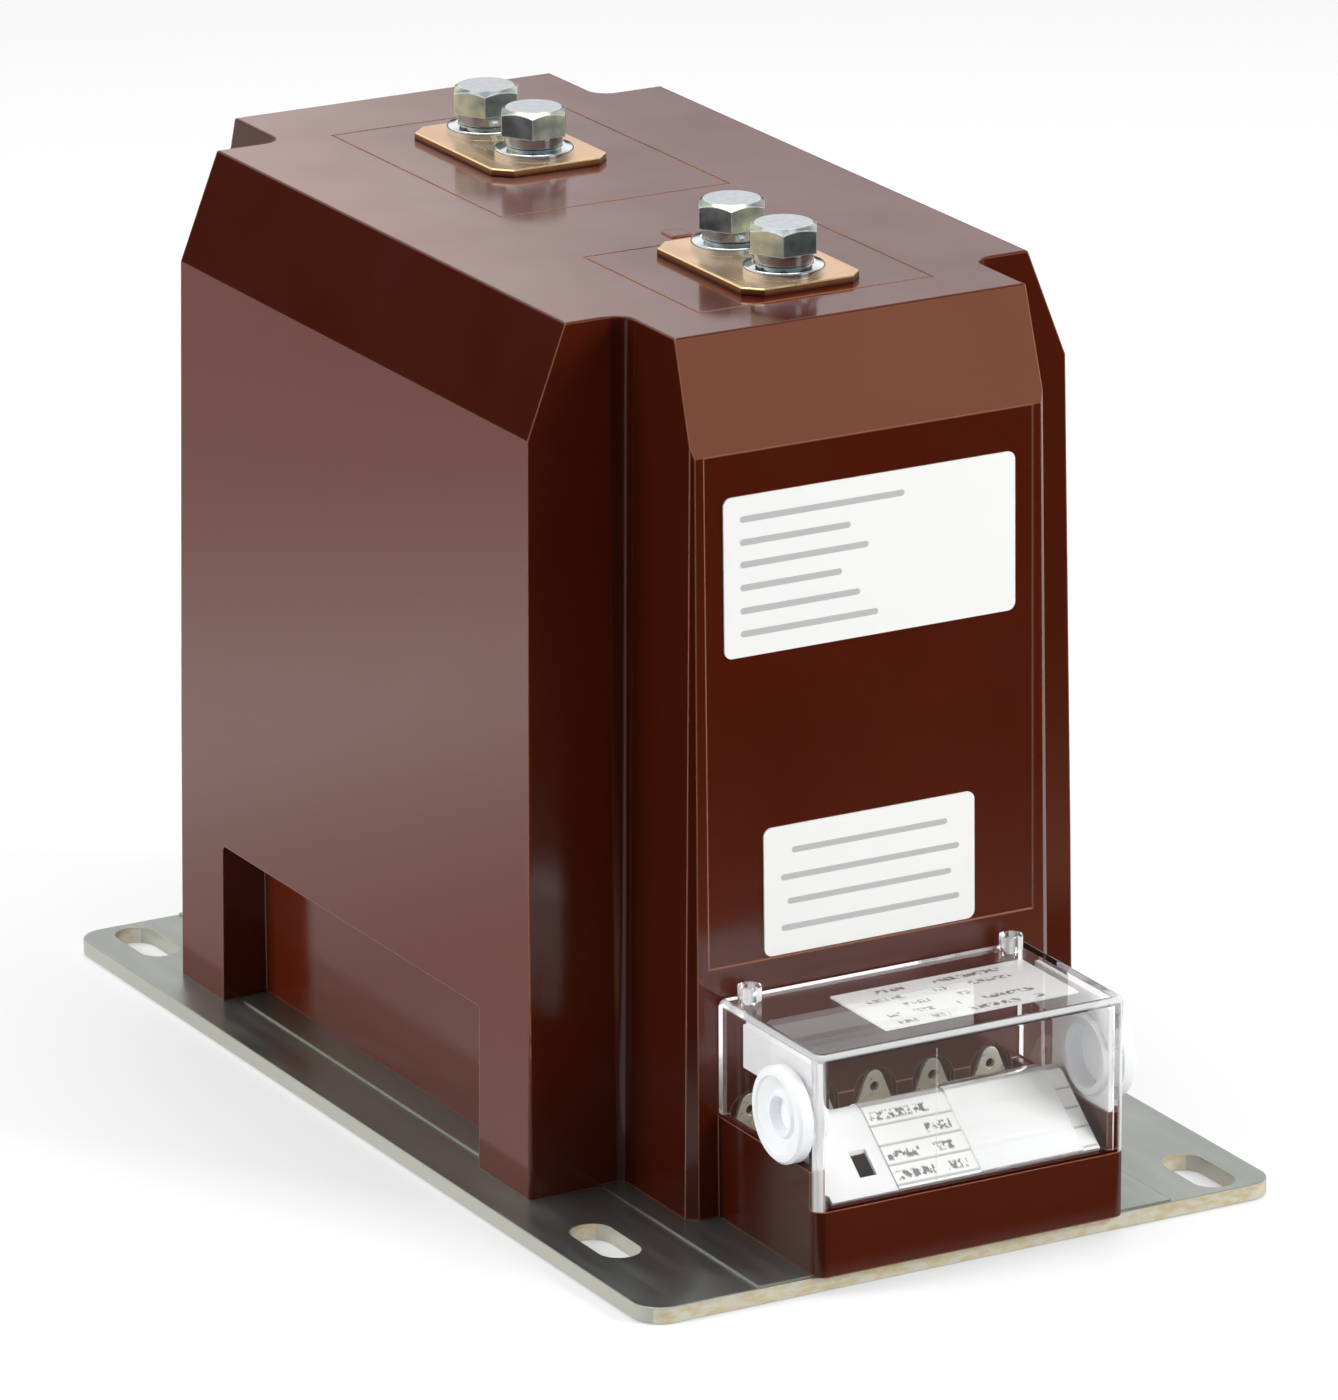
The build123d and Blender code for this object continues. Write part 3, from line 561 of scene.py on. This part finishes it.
def printed_sheet(name, axis, row_pitch, row_start, print_ends, stepped_rows):
    """White sheet in shallow rows, with a few soft grey dashes that only stand for print."""
    white = (0.92, 0.92, 0.91)
    ink = (0.10, 0.10, 0.10)
    row_step_grey = (0.46, 0.46, 0.46)
    row_middle = 0.5
    stroke_slant = 3.0
    word_grain = 0.16
    word_gap = 0.43
    ink_strength = 0.9
    row_relief = 0.6
    finish, tree, surface = new_finish(name, white, 0.35)
    place = object_place(tree)
    ahead = calculate(tree, "SUBTRACT", place[axis], row_start)
    along = calculate(tree, "DIVIDE", ahead, row_pitch)
    row = calculate(tree, "FLOOR", along)
    within = calculate(tree, "FRACT", along)

    # Dashes: a band in the middle of each row, broken into strokes and the strokes into words
    off_middle = unsigned(tree, calculate(tree, "SUBTRACT", within, row_middle))
    band = remap(tree, off_middle, 1.0, 0.0, 0.16, 0.27)
    across = times(tree, place["X"], PRINT_GRAIN)
    row_place = times(tree, row, PRINT_ROW_STEP)
    down = calculate(tree, "ADD", row_place, times(tree, within, stroke_slant))
    letters = flat_mottle(tree, across, down, scale=1.0, detail=2.0)
    stroke = remap(tree, letters, 0.0, 1.0, 0.45, 0.54)
    words = flat_mottle(tree, across, row_place, scale=word_grain, detail=0.0)
    word = over(tree, words, word_gap)
    left_end, right_end = print_ends
    between = times(tree, over(tree, place["X"], left_end), under(tree, place["X"], right_end))
    dash = times(tree, times(tree, band, stroke), times(tree, between, word))
    printed = mix_colours(tree, times(tree, dash, ink_strength), white, ink)

    # A grey band just past the step of each row of the relief
    row_step_band = times(tree, remap(tree, within, 1.0, 0.0, 0.04, 0.16), stepped_rows)
    tree.links.new(mix_colours(tree, row_step_band, printed, row_step_grey), surface.inputs["Base Color"])
    relief(tree, surface, within, strength=row_relief * stepped_rows, distance=0.0006)
    return finish


def label_film(name, colour):
    """Satin film of the two blank plates and of the grey lines on them."""
    finish, tree, surface = new_finish(name, colour, 0.42)
    tree.links.new(remap(tree, mottle(tree, scale=120.0), 0.38, 0.46), surface.inputs["Roughness"])
    return finish


def dress(frame):
    """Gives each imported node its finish."""
    bronze = terminal_bronze()
    screw = plated_screw()
    brass = turned_brass()
    washer_zinc = bright_zinc(
        "washer_zinc", cool=(0.78, 0.87, 0.92), warm=(0.84, 0.90, 0.90), roughness=0.13
    )
    lock_zinc = bright_zinc(
        "lock_zinc", cool=(0.56, 0.64, 0.67), warm=(0.66, 0.72, 0.70), roughness=0.14
    )
    tab_zinc = bright_zinc(
        "tab_zinc", cool=(0.86, 0.87, 0.78), warm=(0.90, 0.86, 0.58), roughness=0.30, metallic=0.45
    )
    white = white_moulding("white_plastic", (0.90, 0.90, 0.91), roughness=0.35, glow=0.1)
    soft_white = white_moulding("grommet_plastic", (0.90, 0.92, 0.95), roughness=0.32, glow=0.35)
    strip_print = printed_sheet(
        "marking_strip_print", "Z", row_pitch=0.0042, row_start=0.0268,
        print_ends=(-0.0215, 0.0120), stepped_rows=1.0,
    )
    card_print = printed_sheet(
        "marking_card_print", "Y", row_pitch=0.0062, row_start=-0.1720,
        print_ends=(-0.0150, 0.0330), stepped_rows=0.0,
    )
    plate_white = label_film("plate_white", (0.885, 0.885, 0.87))
    finishes = {
        "resin_body": cast_resin(),
        "base_plate": plated_sheet(),
        "base_screws": washer_zinc,
        "base_inserts": brass,
        "front_primary_bar": bronze,
        "rear_primary_bar": bronze,
        "front_bolts": screw,
        "rear_bolts": screw,
        "front_plain_washers": washer_zinc,
        "rear_plain_washers": washer_zinc,
        "front_lock_washers": lock_zinc,
        "rear_lock_washers": lock_zinc,
        "terminal_cover": clear_moulding("clear_cover", (0.985, 0.99, 0.99), bend=1.38),
        "left_entry_plate": white,
        "right_entry_plate": white,
        "left_grommet": soft_white,
        "right_grommet": soft_white,
        "secondary_terminal_tabs": tab_zinc,
        "secondary_terminal_washers": tab_zinc,
        "secondary_terminal_screws": tab_zinc,
        "secondary_terminal_inserts": brass,
        "card_lectern": white,
        "marking_strip": strip_print,
        "strip_window": clear_moulding("clear_window", (0.97, 0.985, 0.98), bend=1.40),
        "marking_card": card_print,
        "rating_plate": plate_white,
        "small_plate": plate_white,
    }
    for name, finish in finishes.items():
        part = frame["nodes"][name]
        part.data.materials.clear()
        part.data.materials.append(finish)


def face_frame():
    """Frame of the front face: X to the right, Y up the face, Z out of it."""
    out = Vector((0.0, -math.cos(FACE_DRAFT), math.sin(FACE_DRAFT)))
    across = Vector((1.0, 0.0, 0.0))
    up = out.cross(across)
    frame = Matrix((across, up, out)).transposed().to_4x4()
    frame.translation = Vector((0.0, -FACE_REACH * MM, FACE_LEVEL * MM))
    return frame


def finished_piece(name, form, finish):
    """An object from a bmesh, riding with the part."""
    mesh = bpy.data.meshes.new(name)
    form.to_mesh(mesh)
    form.free()
    piece = bpy.data.objects.new(name, mesh)
    bpy.context.scene.collection.objects.link(piece)
    mesh.materials.append(finish)
    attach(piece, "root")


def add_rounded_line(form, left, right, level, width, frame):
    """A flat line with round ends on the front face, as a thin closed solid."""
    radius = width / 2.0
    made = bmesh.ops.create_circle(form, cap_ends=True, segments=LINE_SEGMENTS, radius=radius * MM)
    verts = made["verts"]
    for vert in verts:
        shift = (right - radius) if vert.co.x > 0 else (left + radius)
        vert.co.x += shift * MM
        vert.co.y += level * MM
        vert.co.z = (PLATE_PROUD - LINE_PROUD) * MM
    faces = list({face for vert in verts for face in vert.link_faces})
    raised = bmesh.ops.extrude_face_region(form, geom=faces, use_keep_orig=True)
    top = [v for v in raised["geom"] if isinstance(v, bmesh.types.BMVert)]
    bmesh.ops.translate(form, verts=top, vec=(0.0, 0.0, 2.0 * LINE_PROUD * MM))
    bmesh.ops.transform(form, matrix=frame, verts=verts + top)


def plate_lines(name, node_name, lines, width, finish):
    """The grey lines on one plate, as one piece."""
    frame = face_frame()
    low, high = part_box(node_name)
    left_side = low[0] / MM
    level_high = (high[2] / MM - FACE_LEVEL) / math.cos(FACE_DRAFT)
    level_low = (low[2] / MM - FACE_LEVEL) / math.cos(FACE_DRAFT)
    form = bmesh.new()
    for left, right, share in lines:
        level = level_high + (level_low - level_high) * share
        add_rounded_line(form, left_side + left, left_side + right, level, width, frame)
    bmesh.ops.recalc_face_normals(form, faces=form.faces)
    finished_piece(name, form, finish)


def cover_moulding_line(cover):
    """Fine raised line that the mould leaves on the front of the clear cover."""
    cover_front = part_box("terminal_cover")[0][1]
    form = bmesh.new()
    made = bmesh.ops.create_cube(form, size=1.0)
    size = Vector((MOULD_LINE_WIDTH, MOULD_LINE_THICKNESS, MOULD_LINE_LENGTH)) * MM
    bmesh.ops.scale(form, vec=size, verts=made["verts"])
    middle_y = cover_front - (MOULD_LINE_PROUD - MOULD_LINE_THICKNESS / 2.0) * MM
    place = Vector((MOULD_LINE_X * MM, middle_y, MOULD_LINE_Z * MM))
    bmesh.ops.translate(form, vec=place, verts=made["verts"])
    bmesh.ops.bevel(
        form, geom=list(form.edges), offset=MOULD_LINE_BEVEL * MM, segments=2,
        affect="EDGES", profile=0.5, material=-1,
    )
    finished_piece("cover_moulding_line", form, cover.data.materials[0])


def seen_directly(tree):
    """1 for a ray from the camera or through clear plastic, and what is mirrored inside it."""
    ray = node(tree, "LightPath")
    inside = calculate(tree, "MINIMUM", ray.outputs["Transmission Depth"], 1.0)
    mirrored_inside = times(tree, inside, ray.outputs["Is Glossy Ray"])
    through = calculate(tree, "MAXIMUM", ray.outputs["Is Transmission Ray"], mirrored_inside)
    return calculate(tree, "MAXIMUM", ray.outputs["Is Camera Ray"], through)


def layered(tree, under_light, mirrored, direct):
    """One shader for light, one for what shiny faces see and one for what the camera sees."""
    ray = node(tree, "LightPath")
    indirect = mix_shaders(tree, ray.outputs["Is Glossy Ray"], under_light, mirrored)
    return mix_shaders(tree, seen_directly(tree), indirect, direct)


def floor_stops(tint, levels):
    """Stops of a ramp across the floor, from metres along Y and a level times a tint."""
    return [
        ((y + FLOOR_REACH) / (2.0 * FLOOR_REACH), tuple(level * part for part in tint))
        for y, level in levels
    ]


def mirrored_floor(tree):
    """What shiny faces see of the floor: warm in front of the part and bright behind it."""
    place = object_place(tree)
    front = floor_stops((1.0, 0.60, 0.40), [
        (-0.60, 0.0), (-0.45, 0.10), (-0.36, 0.5), (-0.28, 0.9), (-0.25, 0.10), (-0.205, 0.10),
    ])
    middle = floor_stops((1.0, 0.92, 0.90), [
        (-0.195, 0.72), (-0.10, 0.78), (0.04, 0.70), (0.12, 0.62),
    ])
    rear = floor_stops((1.0, 0.97, 0.955), [
        (0.24, 0.85), (0.34, 1.20), (0.39, 1.22), (0.60, 0.72), (0.78, 0.6),
    ])
    along = remap(tree, place["Y"], 0.0, 1.0, -FLOOR_REACH, FLOOR_REACH)
    black = (0.0, 0.0, 0.0)

    # The floor in front of the part is dark to the left, and lit again under it and to the right
    right_of_dark = remap(tree, place["X"], 0.0, 1.0, -0.30, -0.15)
    behind_dark = remap(tree, place["Y"], 0.0, 1.0, -0.22, -0.18)
    lit = calculate(tree, "MAXIMUM", right_of_dark, behind_dark)
    return mix_colours(tree, lit, black, ramp(tree, along, front + middle + rear))


def studio_floor():
    """Plain pale floor that keeps the shadow, with its own light for shiny faces."""
    finish = bpy.data.materials.new("studio_floor")
    finish.use_nodes = True
    tree = finish.node_tree
    tree.nodes.clear()
    paper = plain_shader(tree, "BsdfDiffuse", (0.60, 0.60, 0.60))
    pale = plain_shader(tree, "BsdfDiffuse", (0.90, 0.90, 0.905))
    white = plain_shader(tree, "Emission", (1.0, 1.0, 1.0), 1.0)
    own_light = 0.35
    seen = mix_shaders(tree, own_light, pale.outputs["BSDF"], white.outputs["Emission"])
    mirrored = node(tree, "Emission")
    tree.links.new(mirrored_floor(tree), mirrored.inputs["Color"])
    whole = layered(tree, paper.outputs["BSDF"], mirrored.outputs["Emission"], seen)
    tree.links.new(whole, node(tree, "OutputMaterial").inputs["Surface"])

    form = bmesh.new()
    bmesh.ops.create_grid(form, x_segments=1, y_segments=1, size=FLOOR_SIZE)
    bmesh.ops.translate(form, vec=(0.0, 0.0, -FLOOR_DROP), verts=form.verts)
    mesh = bpy.data.meshes.new("studio_floor")
    form.to_mesh(mesh)
    form.free()
    mesh.materials.append(finish)
    floor = bpy.data.objects.new("studio_floor", mesh)
    bpy.context.scene.collection.objects.link(floor)


def mirrored_sky(tree):
    """What shiny faces see of the room: a dark horizon and a bright ceiling at the back."""
    horizon_light = 0.02
    ceiling_light = 1.09
    overhead_share = 0.55
    front_share = 0.35
    ways = split_axes(tree, node(tree, "TexCoord").outputs["Generated"])
    rise = remap(tree, ways["Z"], horizon_light, ceiling_light, 0.13, 0.26)
    overhead = remap(tree, ways["Z"], 1.0, overhead_share, 0.40, 0.75)
    back = remap(tree, ways["Y"], front_share, 1.0, -0.3, 0.3)
    return times(tree, times(tree, rise, overhead), back)


def studio_world():
    """Soft white light all round, and a white background for the camera."""
    world = bpy.data.worlds.new("studio")
    bpy.context.scene.world = world
    world.use_nodes = True
    tree = world.node_tree
    tree.nodes.clear()
    soft = plain_shader(tree, "Background", (1.0, 1.0, 1.0), 0.40)
    mirrored = plain_shader(tree, "Background", (1.0, 0.95, 0.94))
    tree.links.new(mirrored_sky(tree), mirrored.inputs["Strength"])
    white = plain_shader(tree, "Background", (1.0, 1.0, 1.0), 1.0)
    shaders = [background.outputs["Background"] for background in (soft, mirrored, white)]
    whole = layered(tree, *shaders)
    tree.links.new(whole, node(tree, "OutputWorld").inputs["Surface"])


def soft_lamp(name, place, target, size, power, mirrored=True):
    """A square area lamp aimed at a point, which shiny faces may mirror or not."""
    light = bpy.data.lights.new(name, "AREA")
    light.shape = "SQUARE"
    light.size = size
    light.energy = power
    lamp = bpy.data.objects.new(name, light)
    bpy.context.scene.collection.objects.link(lamp)
    lamp.location = place
    aim = Vector(target) - Vector(place)
    lamp.rotation_euler = aim.to_track_quat("-Z", "Y").to_euler()
    lamp.visible_camera = False
    lamp.visible_glossy = mirrored


def studio_lamps():
    """Key from the front right, one from above, one from the left and a small one for the slope."""
    part_middle = (0.0, 0.0, 0.12)
    slope_middle = (0.0, -0.1, 0.25)
    soft_lamp("key_lamp", (1.5, -1.5, 1.25), part_middle, size=1.1, power=44.0, mirrored=False)
    soft_lamp("top_lamp", (0.1, 0.4, 2.1), part_middle, size=1.5, power=24.0)
    soft_lamp("left_lamp", (-2.0, 0.5, 0.9), part_middle, size=0.9, power=30.0, mirrored=False)
    soft_lamp("slope_lamp", (0.74, -1.37, 0.60), slope_middle, size=0.55, power=0.7)


def photo_camera():
    """Camera at the photograph's place, turned by its yaw, pitch and roll."""
    yaw, pitch, roll = (math.radians(a) for a in (CAMERA_YAW, CAMERA_PITCH, CAMERA_ROLL))
    level = math.cos(pitch)
    ahead = Vector((math.sin(yaw) * level, math.cos(yaw) * level, -math.sin(pitch)))
    right = Vector((math.cos(yaw), -math.sin(yaw), 0.0))
    up = right.cross(ahead)
    across = right * math.cos(roll) + up * math.sin(roll)
    upward = up * math.cos(roll) - right * math.sin(roll)
    data = bpy.data.cameras.new("camera")
    data.sensor_fit = "HORIZONTAL"
    data.sensor_width = SENSOR_WIDTH
    data.lens = CAMERA_LENS
    data.clip_start = CAMERA_NEAR
    data.clip_end = CAMERA_FAR
    camera = bpy.data.objects.new("camera", data)
    bpy.context.scene.collection.objects.link(camera)
    turn = Matrix((across, upward, -ahead)).transposed().to_4x4()
    turn.translation = Vector(CAMERA_PLACE)
    camera.matrix_world = turn
    bpy.context.scene.camera = camera


def main():
    """The part with its finishes, in a studio, seen from the photograph's place."""
    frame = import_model()
    dress(frame)
    plate_grey = label_film("plate_grey", (0.50, 0.50, 0.50))
    plate_lines("rating_plate_lines", "rating_plate", RATING_LINES, RATING_LINE_WIDTH, plate_grey)
    plate_lines("small_plate_lines", "small_plate", SMALL_LINES, SMALL_LINE_WIDTH, plate_grey)
    cover_moulding_line(frame["nodes"]["terminal_cover"])
    studio_floor()
    studio_world()
    studio_lamps()
    photo_camera()
    bpy.context.scene.view_settings.view_transform = "Standard"


main()
